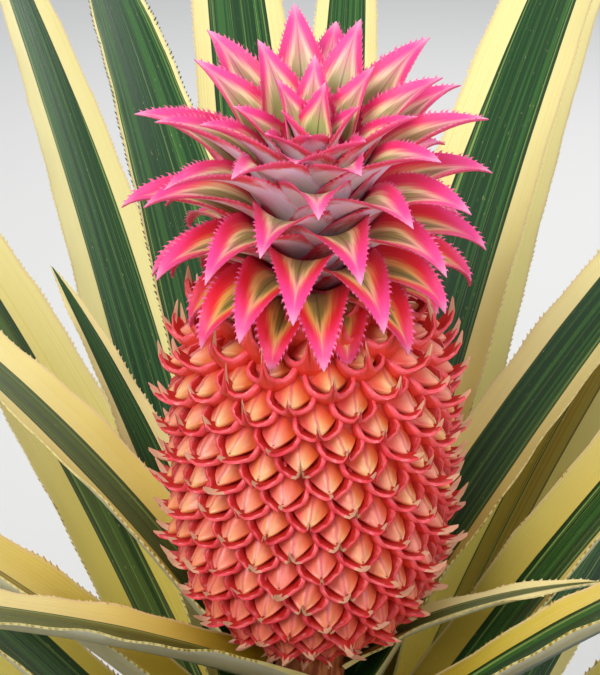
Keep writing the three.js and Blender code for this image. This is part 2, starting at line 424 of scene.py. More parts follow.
def show(piece: Piece, slot: str, *nodes: str) -> Piece:
    """Lets a piece ride with the plant, and lets it stand for its solids.

    Args:
        piece: The piece.
        slot: Not used.
        *nodes: Names of the solids.

    Returns:
        The same piece.
    """
    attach(piece, "root")
    if nodes:
        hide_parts(*nodes)
    return piece


# ---- Finishes ----


@dataclass(frozen=True)
class Field:
    """A number, place or colour that varies over a surface, with the sums that nodes do on it."""

    mat: "Recipe"
    socket: bpy.types.NodeSocket

    def sum(self, operation: str, other: "Field | float | None" = None) -> "Field":
        """Works out one sum on the field and another one or a number."""
        return self.mat.node("Math", self, other, operation=operation)

    def __add__(self, other: "Field | float") -> "Field":
        """The field plus another."""
        return self.sum("ADD", other)

    def __sub__(self, other: "Field | float") -> "Field":
        """The field less another."""
        return self.sum("SUBTRACT", other)

    def __mul__(self, other: "Field | float") -> "Field":
        """The field times another."""
        return self.sum("MULTIPLY", other)

    def __pow__(self, other: float) -> "Field":
        """The field to a power."""
        return self.sum("POWER", other)

    def __abs__(self) -> "Field":
        """The field without its sign."""
        return self.sum("ABSOLUTE")

    def ease(self, start: float, end: float, low: float = 0.0, high: float = 1.0) -> "Field":
        """Eases from low to high as the field goes from start to end."""
        return self.mat.node("MapRange", self, start, end, low, high, interpolation_type="SMOOTHSTEP")


class Recipe:
    """One material and the nodes that make it, gathered round a single surface shader."""

    def __init__(self, name: str, roughness: float, specular: float) -> None:
        """Starts a material with a shader and nothing feeding it.

        Args:
            name: The material's name.
            roughness: Roughness where nothing drives it.
            specular: Strength of the plain reflection.
        """
        self.material = bpy.data.materials.new(name)
        self.material.use_nodes = True
        self.tree = self.material.node_tree
        self.tree.nodes.clear()
        output = self.tree.nodes.new("ShaderNodeOutputMaterial")
        self.shader = self.tree.nodes.new("ShaderNodeBsdfPrincipled")
        self.shader.inputs["Roughness"].default_value = roughness
        self.shader.inputs["Specular IOR Level"].default_value = specular
        self.tree.links.new(self.shader.outputs[0], output.inputs[0])

    def feed(self, socket: bpy.types.NodeSocket, value: Field | Tint | float | None) -> None:
        """Links a field to an input, sets the input to a plain value, or leaves it alone.

        Args:
            socket: The input.
            value: What feeds it, if anything does.
        """
        if isinstance(value, Field):
            self.tree.links.new(value.socket, socket)
        elif value is not None:
            socket.default_value = value

    def node(self, kind: str, *values: Field | Tint | float | None, out: int = 0, **settings: str) -> Field:
        """Adds a node.

        Args:
            kind: The node's type without its usual prefix.
            *values: What feeds each input, in order.
            out: Number of the output wanted.
            **settings: Properties of the node.

        Returns:
            The wanted output.
        """
        made = self.tree.nodes.new("ShaderNode" + kind)
        for key, setting in settings.items():
            setattr(made, key, setting)
        for socket, value in zip(made.inputs, values):
            self.feed(socket, value)
        return Field(self, made.outputs[out])

    def values(self, *names: str) -> list[Field]:
        """Reads named numbers of the mesh."""
        return [self.node("Attribute", attribute_name=name, out=ATTRIBUTE_NUMBER) for name in names]

    def lay(self) -> tuple[Field, Field]:
        """Reads a surface's own two parameters."""
        parts = self.node("SeparateXYZ", self.node("UVMap", uv_map=LAY_MAP)).socket.node.outputs
        return Field(self, parts[0]), Field(self, parts[1])

    def place(self) -> Field:
        """Reads the place in the piece's own space."""
        return self.node("TexCoord", out=OBJECT_PLACE)

    def noise(self, place: Field, scale: float, detail: float = 2.0, roughness: float = 0.5) -> Field:
        """A soft random field from about 0.3 to 0.7 about a place."""
        return self.node("TexNoise", place, None, scale, detail, roughness)

    def streaks(
        self, x: Field, y: Field, seed: Field, scale: float, detail: float = 2.0, roughness: float = 0.5
    ) -> Field:
        """Noise about a place of three numbers, drawn out where one of them runs slowly."""
        return self.noise(self.node("CombineXYZ", x, y, seed), scale, detail, roughness)

    def layers(self, base: Field | Tint, *coats: tuple[Field, Field | Tint]) -> Field:
        """Lays coats over a base colour, each by its own share.

        Args:
            base: The colour below.
            *coats: Each coat's share and colour, from below.

        Returns:
            The colour seen.
        """
        colour = base
        for share, coat in coats:
            mixer = self.tree.nodes.new("ShaderNodeMix")
            mixer.data_type = "RGBA"
            for number, value in zip(MIX_INPUTS, (share, colour, coat)):
                self.feed(mixer.inputs[number], value)
            colour = Field(self, mixer.outputs[MIX_RESULT])
        return colour

    def finish(
        self, colour: Field | Tint, relief: Field, depth: float, strength: float, rough: Field | None = None
    ) -> Material:
        """Gives the surface its colour, fine relief and roughness.

        Args:
            colour: What it looks like.
            relief: Height of the relief, from 0 to 1.
            depth: How deep 1 is, in metres.
            strength: How much of the relief is used.
            rough: What drives the roughness, if anything does.

        Returns:
            The finished material.
        """
        bump = self.tree.nodes.new("ShaderNodeBump")
        bump.inputs["Strength"].default_value = strength
        bump.inputs["Distance"].default_value = depth
        self.feed(bump.inputs["Height"], relief)
        self.tree.links.new(bump.outputs[0], self.shader.inputs["Normal"])
        self.feed(self.shader.inputs["Base Color"], colour)
        self.feed(self.shader.inputs["Roughness"], rough)
        return self.material


@dataclass(frozen=True)
class StripedLeaf:
    """The upper skin of a rosette leaf: cream margins, a dark seam and a green middle with pale lines."""

    cream: Tint = tint(244, 230, 158)
    straw: Tint = tint(226, 202, 62)
    mustard: Tint = tint(176, 134, 20)
    blush: Tint = tint(236, 210, 150)
    green: Tint = tint(22, 62, 22)
    leafy: Tint = tint(48, 98, 36)
    pale_line: Tint = tint(150, 174, 92)
    seam: Tint = tint(18, 44, 12)

    def material(self) -> Material:
        """Stripes run along the leaf: each is a band of the distance across, moved a little by slow noise.

        Returns:
            The finished material.
        """
        mat = Recipe("striped leaf", 0.4, 0.45)
        across, along = mat.lay()
        seed, reach, cream, gold = mat.values("seed", "reach", "cream", "gold")
        side = abs(across)
        slow = mat.streaks(across * 0.8, reach * 3.0, seed, 1.0, 1.0)
        lines = mat.streaks(across * 7.0, reach * 0.7, seed, 2.0, 3.0, 0.6)
        fine = mat.streaks(across * 26.0, reach * 1.2, seed, 2.0, 2.0, 0.6)
        flecks = mat.streaks(across * 30.0, reach * 260.0, seed, 1.0, 2.0)
        inside = cream + slow.ease(0.25, 0.75, -0.07, 0.07) - side
        halo = inside.ease(0.16, 0.1) * lines.ease(0.5, 0.62)
        middle = mat.layers(
            self.green,
            (lines.ease(0.44, 0.6), self.leafy),
            (fine.ease(0.645, 0.7) * 0.75, self.pale_line),
            (halo * 0.8, self.pale_line),
            (gold * lines.ease(0.36, 0.5), mat.layers(self.straw, (lines.ease(0.35, 0.6), self.mustard))),
        )
        band = mat.layers(
            self.cream,
            ((along + slow * 0.2).ease(0.62, 0.1), self.straw),
            (along.ease(0.2, 0.0), self.mustard),
            (fine.ease(0.6, 0.68) * 0.35, self.straw),
            (side.ease(0.93, 0.99), self.blush),
        )
        seam = inside.ease(-0.012, 0.004) * inside.ease(0.035, 0.012)
        colour = mat.layers(
            band,
            (inside.ease(-0.008, 0.008), middle),
            (seam * 0.8, self.seam),
            (flecks.ease(0.68, 0.8, 0.0, 0.25), self.cream),
        )
        return mat.finish(colour, fine + lines * 0.6, 0.0005, 0.5, lines.ease(0.3, 0.7, 0.32, 0.5))


@dataclass(frozen=True)
class ScurfyLeaf:
    """The underside of a rosette leaf: the same stripes, dulled by grey-blue scurf in fine rows."""

    scurf: Tint = tint(186, 192, 202)
    green: Tint = tint(50, 88, 50)
    cream: Tint = tint(228, 218, 160)
    straw: Tint = tint(196, 178, 70)

    def material(self) -> Material:
        """Fine rows run along the leaf; the margins stay pale.

        Returns:
            The finished material.
        """
        mat = Recipe("scurfy leaf", 0.6, 0.3)
        across, along = mat.lay()
        seed, reach, cream = mat.values("seed", "reach", "cream")
        rows = mat.streaks(across * 30.0, reach * 1.5, seed, 2.0, 2.0)
        colour = mat.layers(
            mat.layers(self.cream, (along.ease(0.45, 0.0), self.straw)),
            ((cream - abs(across)).ease(-0.02, 0.03), self.green),
            (rows.ease(0.35, 0.65, 0.2, 0.75), self.scurf),
        )
        return mat.finish(colour, rows, 0.0004, 0.5)


@dataclass(frozen=True)
class RosyLeaf:
    """The upper skin of a crown leaf: an olive channel, a cream and orange stripe, and hot pink margins."""

    shade: Tint = tint(84, 74, 30)
    olive: Tint = tint(134, 112, 42)
    leaf_green: Tint = tint(176, 188, 118)
    cream: Tint = tint(248, 234, 176)
    amber: Tint = tint(236, 176, 92)
    orange: Tint = tint(238, 110, 66)
    blush: Tint = tint(246, 168, 150)
    red: Tint = tint(238, 38, 56)
    pink: Tint = tint(244, 54, 118)
    magenta: Tint = tint(246, 78, 162)
    tip: Tint = tint(240, 196, 226)

    def material(self) -> Material:
        """Bands of the distance across, paler with the leaf's rank; the pink closes over them towards the tip.

        Returns:
            The finished material.
        """
        mat = Recipe("rosy leaf", 0.38, 0.45)
        across, along = mat.lay()
        seed, rank = mat.values("seed", "rank")
        side = abs(across)
        lines = mat.streaks(across * 5.0, along * 1.3, seed, 2.0, 2.0, 0.6)
        rows = mat.streaks(across * 16.0, along * 3.0, seed, 2.0, 1.0)
        x = side + lines.ease(0.3, 0.7, -0.06, 0.06) + along.ease(0.5, 1.0, 0.0, 0.55)
        x = x - rank.ease(0.3, 0.8, 0.0, 0.24)
        colour = mat.layers(
            mat.layers(self.olive, (rank, self.leaf_green)),
            (side.ease(0.05, 0.015, 0.0, 0.6), self.shade),
            (x.ease(0.16, 0.34), mat.layers(self.amber, (rank.ease(0.15, 0.6), self.cream))),
            (x.ease(0.34, 0.5), mat.layers(self.orange, (rank.ease(0.3, 0.75, 0.0, 0.8), self.blush))),
            (x.ease(0.46, 0.66), mat.layers(self.red, (rank.ease(0.25, 0.8), self.pink))),
            (x.ease(0.78, 1.05) * rank.ease(0.05, 0.4, 0.35, 1.0), self.pink),
            ((along + rank.ease(0.0, 0.4, -0.14, 0.0)).ease(0.55, 0.95, 0.0, 0.85), self.magenta),
            (along.ease(0.28, 0.05, 0.0, 0.55), self.red),
            (along.ease(0.88, 1.0, 0.0, 0.6), self.tip),
        )
        return mat.finish(colour, rows, 0.0003, 0.5, lines.ease(0.3, 0.7, 0.3, 0.46))


@dataclass(frozen=True)
class MauveLeaf:
    """The underside of a crown leaf: mauve-grey bloom in the middle with rosy margins."""

    mauve: Tint = tint(242, 218, 250)
    grey: Tint = tint(242, 228, 240)
    rose: Tint = tint(228, 128, 140)
    red: Tint = tint(222, 66, 88)
    pink: Tint = tint(240, 84, 146)

    def material(self) -> Material:
        """Bloom in the middle at the foot, rose towards the margins and pink towards the tip.

        Returns:
            The finished material.
        """
        mat = Recipe("mauve leaf", 0.5, 0.4)
        across, along = mat.lay()
        (seed,) = mat.values("seed")
        cloud = mat.streaks(across * 1.2, along * 2.0, seed, 2.0, 3.0, 0.6)
        rows = mat.streaks(across * 16.0, along * 2.0, seed, 2.0, 1.0)
        x = abs(across) + cloud.ease(0.3, 0.7, -0.15, 0.15) + along.ease(0.5, 0.95, 0.0, 0.5)
        colour = mat.layers(
            self.mauve,
            (cloud.ease(0.4, 0.62), self.grey),
            (x.ease(0.7, 0.92), self.rose),
            (x.ease(0.9, 1.02), self.red),
            (along.ease(0.6, 0.95), self.pink),
        )
        return mat.finish(colour, rows, 0.0003, 0.4)


@dataclass(frozen=True)
class EyeSkin:
    """The skin of a fruitlet's eye: painted highlights on the ridges beside a plum seam, orange flanks with one half
    painted lit, and a dark red foot and a redder top in painted shade.
    """

    # painted highlights of the ridges beside the seam: the first on the half painted lit, the second on the other half
    peach_highlight: Tint = tint(243, 186, 126)
    blush: Tint = tint(243, 158, 134)
    rose: Tint = tint(228, 92, 84)
    # painted light: the flank of the half painted lit
    orange: Tint = tint(224, 114, 58)
    # painted shade: the redder top of the eye and its rim
    ember_shade: Tint = tint(214, 66, 40)
    plum: Tint = tint(186, 62, 96)
    # painted shade: the deep red of the rim where the eye sinks into the hollow
    dark: Tint = tint(120, 12, 10)
    dot: Tint = tint(60, 24, 20)

    def material(self) -> Material:
        """Bands of the distance from the seam, paler near it as painted highlight, and redder towards the foot and the
        top as painted shade, with a dot at the low point.

        Returns:
            The finished material.
        """
        mat = Recipe("eye skin", 0.36, 0.5)
        x, y = mat.lay()
        tone, foot, low = mat.values("tone", "foot", "low")
        cloud = mat.streaks(x * 1.4, y * 0.8, tone * 9.0, 1.6, 3.0, 0.6)
        bend = x + cloud.ease(0.3, 0.7, -0.05, 0.05)
        side = abs(bend)
        # painted light: the right half is painted lit in orange, the left one rose; a random tone moves where the
        # halves meet
        lit_facet = (bend + (tone - 0.5)).ease(-0.35, 0.35)
        seam = side.ease(0.1, 0.01) * y.ease(-0.48, -0.36)
        from_dot = (x * 1.2) ** 2.0 + ((y + 0.44) * 2.2) ** 2.0
        colour = mat.layers(
            mat.layers(self.rose, (lit_facet, self.orange)),
            # painted highlight: paler ridges beside the seam, with shade towards the flanks
            (side.ease(0.56, 0.1), mat.layers(self.blush, (lit_facet, self.peach_highlight))),
            # painted shade: the top of the eye is darker red
            (y.ease(-0.35, 0.55, 0.0, 0.9), self.ember_shade),
            (low * 0.8, self.rose),
            (cloud.ease(0.52, 0.72, 0.0, 0.4), self.rose),
            # painted shade: the rim, where the eye sinks into the hollow, darkens to deep red
            (foot.ease(0.66, 0.9, 0.0, 0.7), self.ember_shade),
            (foot.ease(0.9, 0.99), self.dark),
            (seam * 0.6, self.plum),
            (from_dot.ease(0.007, 0.002, 0.0, 0.8), self.dot),
        )
        return mat.finish(colour, cloud, 0.0006, 0.4, cloud.ease(0.3, 0.7, 0.28, 0.44))


@dataclass(frozen=True)
class PlainSkin:
    """A finish of one colour with a fine grain of its own, for small repeated pieces."""

    name: str
    base: Tint
    roughness: float = 0.5
    grain: float = 900.0
    depth: float = 0.0002

    def material(self) -> Material:
        """One colour; fine noise drives the relief, and the roughness a little to both sides.

        Returns:
            The finished material.
        """
        mat = Recipe(self.name, self.roughness, 0.45)
        speckle = mat.noise(mat.place(), self.grain)
        rough = speckle.ease(0.3, 0.7, self.roughness - 0.08, self.roughness + 0.1)
        return mat.finish(self.base, speckle, self.depth, 0.6, rough)


@dataclass(frozen=True)
class BarkSkin:
    """The skin of the stems: a fibrous, ringed husk."""

    name: str
    light: Tint
    dark: Tint
    depth: float = 0.0012

    def material(self) -> Material:
        """Noise drawn out along the height, over slow patches.

        Returns:
            The finished material.
        """
        mat = Recipe(self.name, 0.8, 0.3)
        place = mat.place()
        fibre = mat.noise(mat.node("Mapping", place, None, None, (1.0, 1.0, 0.12)), 420.0, 4.0, 0.65)
        patch = mat.noise(place, 40.0, 3.0)
        colour = mat.layers(
            self.dark,
            (fibre.ease(0.35, 0.65), self.light),
            (patch.ease(0.45, 0.7, 0.0, 0.5), self.dark),
        )
        return mat.finish(colour, fibre, self.depth, 0.7)


# ---- Blades ----


class Side(IntEnum):
    """The slots of a blade's faces."""

    UPPER = 0
    UNDER = 1
    EDGE = 2


@dataclass(frozen=True)
class Blade:
    """A leaf blade along a bent middle line, in millimetres and radians.

    It stands at a radius, azimuth and height round the plant's axis, leans out from the vertical by lean and bends
    further by bend, more and more towards the tip.
    """

    azimuth: float
    height: float
    radius: float
    length: float
    thickness: float
    width: float
    foot_share: float
    point_power: float
    lean: float
    bend: float
    bend_power: float
    fold: float
    foot_fold: float
    fold_by: float
    roll: float
    sway: float
    middle_skin: float
    edge_skin: float
    ripple: float
    number: int
    droop: float = 0
    taper: float = 0.85
    nod: float = 0
    nod_height: float = 0
    long_wave: float = 74
    short_wave: float = 31
    last_section: float = 0.992

    def tilt(self, s: Array) -> Array:
        """The middle line's angle from the vertical at share s of the length."""
        return self.lean + self.bend * s**self.bend_power + self.droop * smooth(s, 0.72, 1) ** 2

    def line(self, s: Array) -> tuple[Array, Array]:
        """The middle line, as the running sum of short steps along its tilt.

        Args:
            s: Shares of the length.

        Returns:
            How far out and how far up the line has come.
        """
        step = self.length / PATH_STEPS
        tilt = self.tilt((np.arange(PATH_STEPS) + 0.5) / PATH_STEPS)
        marks = np.arange(PATH_STEPS + 1) / PATH_STEPS
        out = np.concatenate([[0], np.cumsum(step * np.sin(tilt))])
        up = np.concatenate([[0], np.cumsum(step * np.cos(tilt))])
        return np.interp(s, marks, out), np.interp(s, marks, up)

    def half_width(self, s: Array) -> Array:
        """Half the width: a broad foot, nearly even sides and a long point."""
        foot = mix(self.foot_share, 1, smooth(s, 0, 0.3))
        return self.width / 2 * foot * np.maximum(0, 1 - s**self.point_power) ** self.taper

    def skin(self, s: Array, across: Array) -> Array:
        """Half the thickness: thin at the margins, and swollen to the whole foot where it clasps the stem.

        Args:
            s: Share of the length.
            across: From -1 at one margin to 1 at the other.

        Returns:
            The half thickness in millimetres.
        """
        thin = mix(self.middle_skin, self.edge_skin, across**2)
        foot = mix(self.thickness * 0.7, thin, smooth(s, 0, 0.14))
        return foot / 2 * mix(1, 0.45, s**3)

    def waves(self, s: Array, across: Array) -> Array:
        """How far the margins ripple: a long and a short wave, which are still at the foot and the tip.

        Args:
            s: Share of the length.
            across: From -1 at one margin to 1 at the other.

        Returns:
            The lift in millimetres.
        """
        margin = np.sign(across)
        long = s * self.length / self.long_wave + wobble(self.number, Trait.LONG_RIPPLE)
        short = s * self.length / self.short_wave + wobble(self.number, Trait.SHORT_RIPPLE)
        wave = np.sin(2 * math.pi * long + 1.3 * margin) + 0.6 * np.sin(2 * math.pi * short - margin)
        return self.ripple * wave * across**4 * smooth(s, 0, 0.2) * smooth(s, 1, 0.9)

    def surface(self, s: Array, across: Array, lift: Array) -> Array:
        """Places points of the blade.

        The section is an arc of the folded width; it rises from the arc by lift, the arc rolls towards the tip, and the
        margins ripple. It is then carried along the middle line, turned to its place and nodded with its tuft.

        Args:
            s: Share of the length.
            across: From -1 at one margin to 1 at the other.
            lift: From -1 at the under face to 1 at the upper face.

        Returns:
            The points in the plant's frame.
        """
        s, across, lift = np.broadcast_arrays(s, across, lift)
        fold = mix(self.foot_fold, self.fold, smooth(s, 0, self.fold_by))
        arc = self.half_width(s) / fold
        flat = arc * np.sin(fold * across)
        rise = arc * (1 - np.cos(fold * across)) + lift * self.skin(s, across) + self.waves(s, across)
        roll = self.roll * s
        inward = flat * np.sin(roll) + rise * np.cos(roll)
        side = flat * np.cos(roll) - rise * np.sin(roll) + self.sway * s * s
        out, up = self.line(s)
        tilt = self.tilt(s)
        far, high = self.radius + out - inward * np.cos(tilt), self.height + up + inward * np.sin(tilt)
        return nodded(stood(self.azimuth, far, side, high), self.nod, self.nod_height)

    def lay_on(self, shell: Shell, rows: int, columns: int, cell: Cell, **values: float) -> None:
        """Adds the blade's closed skin: a ring of the upper face, an edge, the under face and an edge, row by row.

        Args:
            shell: Where the grid goes.
            rows: Sections along the blade.
            columns: Cells across each face.
            cell: The blade's place in the unwrapped image.
            **values: Named numbers, one for the whole blade.
        """
        s = np.concatenate([[0], np.linspace(0, self.last_section, rows), [1]])[:, None]
        over = np.linspace(1, -1, columns + 1)
        across = np.concatenate([over, over[::-1]])[None]
        lift = np.repeat([[1, -1]], columns + 1, 1)
        spread = np.ones_like(s)
        spread[[0, -1]] = 0
        points = self.surface(s, across * spread, lift * spread)
        ring = [Side.UPPER] * columns + [Side.EDGE] + [Side.UNDER] * columns + [Side.EDGE]
        lay = np.stack(np.broadcast_arrays(across, s), -1)
        told = {**values, "reach": s[None] * self.length * MM}
        lattice = Lattice(*points.shape[:2])
        shell.add_grids(points[None], lattice, np.tile(ring, len(s) - 1), lay[None], [cell], told)


@dataclass(frozen=True)
class Spines:
    """The small spines along a blade's margins, in millimetres, hooked by a neck or straight."""

    spacing: float
    height: float
    forward: float
    half_base: float
    half_thick: float
    start: float
    end: float
    hooked: bool = False

    def frames(self, blade: Blade) -> tuple[Array, Array, Array]:
        """Finds where each spine sits and which way it points.

        Args:
            blade: The blade that carries them.

        Returns:
            Each spine's share along the blade, its foot, and its ways along the margin, off the face and outwards.
        """
        count = max(2, int(blade.length * (self.end - self.start) / self.spacing))
        marks = np.arange(count)
        s = mix(self.start, self.end, (marks + 0.5 + 0.22 * wobble(marks, blade.number)) / count)
        s = np.concatenate([s, s])
        edge = np.repeat([1.0, -1.0], count)
        foot = blade.surface(s, edge, 0)
        along = blade.surface(np.minimum(s + 0.004, 1), edge, 0) - foot
        along = along / np.linalg.norm(along, axis=1, keepdims=True)
        outward = foot - blade.surface(s, edge * 0.9, 0)
        outward = outward - along * (outward * along).sum(1, keepdims=True)
        outward = outward / np.linalg.norm(outward, axis=1, keepdims=True)
        return s, foot, np.stack([along, np.cross(outward, along), outward], 1)

    def shape(self) -> tuple[Array, Array]:
        """One spine: a thin pyramid on a long foot whose tip leans forward.

        Returns:
            Its points along the margin, off the face and outwards, and its faces.
        """
        foot = np.array([(1, 0, -0.35), (0, 1, -0.35), (-1, 0, -0.35), (0, -1, -0.35)])
        rings = [foot * [self.half_base, self.half_thick, self.height]]
        if self.hooked:
            rings.append(rings[0] * [0.5, 0.6, 0] + [0.45 * self.half_base, 0, self.height * 0.55])
        last = 4 * (len(rings) - 1)
        corner = np.arange(4)
        after = (corner + 1) % 4
        faces = [corner[::-1][None]]
        faces += [ring + np.stack([corner, after, after + 4, corner + 4], 1) for ring in range(0, last, 4)]
        faces.append(last + np.stack([corner, after, 0 * corner + 4, 0 * corner + 4], 1))
        return np.concatenate([*rings, [[self.forward, 0, self.height]]]), np.concatenate(faces)

    def lay_on(self, shell: Shell, blade: Blade, tones: list[IntEnum]) -> None:
        """Adds the blade's spines.

        Args:
            shell: Where they go.
            blade: The blade that carries them.
            tones: The slots from the foot of the blade to its tip, in equal shares of its length.
        """
        s, foot, axes = self.frames(blade)
        size = 1 + 0.25 * wobble(np.arange(len(s)), blade.number + Trait.SPINE_SIZE)
        size = size * mix(0.65, 1, smooth(s, 1, 0.75))
        local, faces = self.shape()
        points = foot[:, None] + np.einsum("kj,njc->nkc", local, axes) * size[:, None, None]
        slots = np.array(tones)[np.minimum((s * len(tones)).astype(int), len(tones) - 1)]
        shell.add_copies(points, faces, slots[:, None])


# ---- The stem and the stalk ----


@dataclass(frozen=True)
class Stem:
    """The short stem in the ground, ringed by the scars of old leaves."""

    height: float = 219
    foot_radius: float = 36
    neck_radius: float = 24
    belly_radius: float = 26
    top_radius: float = 18
    flare_height: float = 12
    shrink_from: float = 0.6
    scars: int = 15

    def radius(self, height: Number) -> Number:
        """The plain radius: a root flare, a slight belly and a narrower top.

        Args:
            height: Height above the ground.

        Returns:
            The radius in millimetres.
        """
        flare = (self.foot_radius - self.neck_radius) * np.exp(-height / self.flare_height)
        belly = (self.belly_radius - self.neck_radius) * np.sin(math.pi * height / self.height)
        shrunk = smooth(height / self.height - self.shrink_from) / smooth(1 - self.shrink_from)
        return self.neck_radius + flare + belly - (self.neck_radius - self.top_radius) * shrunk

    def build(self) -> list[Piece]:
        """Turns the stem's outline, with ridges that wind round it where leaves stood.

        Returns:
            The stem.
        """
        high, turn = self.height * stations(110), around(72)
        wind = self.scars * high / self.height + 1.5 * turn / math.pi
        ridge = 0.9 * np.abs(np.sin(math.pi * wind)) ** 0.6 + 0.3 * np.sin(9 * turn + 0.2 * high)
        fade = smooth(high, self.height, self.height - 4) * smooth(high, -4, 4)
        bark = BarkSkin("stem husk", tint(150, 134, 92), tint(84, 64, 38)).material()
        husk = turned("stem_husk", self.radius(high) - 1.0 + ridge * fade, high, bark)
        return [show(husk, "stem", "stem")]


@dataclass(frozen=True)
class Stalk:
    """The stalk between the stem and the fruit."""

    foot: float = 219.3
    height: float = 54
    bottom_radius: float = 14
    neck_radius: float = 13.9
    top_radius: float = 15

    def build(self) -> list[Piece]:
        """Turns the stalk's outline, with shallow flutes.

        Returns:
            The stalk.
        """
        share, turn = stations(40), around(64)
        radius = mix(self.bottom_radius, self.neck_radius, smooth(share, 0, 0.5))
        radius = mix(radius, self.top_radius, smooth(share, 0.8, 1))
        radius = radius - 0.5 + 0.35 * np.sin(12 * turn + 2 * share) + 0.2 * np.sin(40 * share)
        bark = BarkSkin("stalk skin", tint(196, 120, 74), tint(140, 70, 44), 0.0006).material()
        skin = turned("stalk_skin", radius, self.foot + share * self.height, bark)
        return [show(skin, "stalk", "stalk")]


# ---- The rosette ----


class LeafSpine(IntEnum):
    """The slots of the rosette's spines."""

    STRAW = 0
    CREAM = 1
    GREEN = 2


@dataclass(frozen=True)
class Habit:
    """How one leaf departs from the rosette's rule.

    Turn, lean and tip are in degrees, length and width in shares. Cream is the share of the half-width where the cream
    starts, and gold how golden the leaf's middle is; without a cream of its own a leaf has both dealt out to it.
    """

    turn: float = 0
    lean: float = 0
    tip: float = 0
    length: float = 1
    width: float = 1
    cream: float | None = None
    gold: float = 0


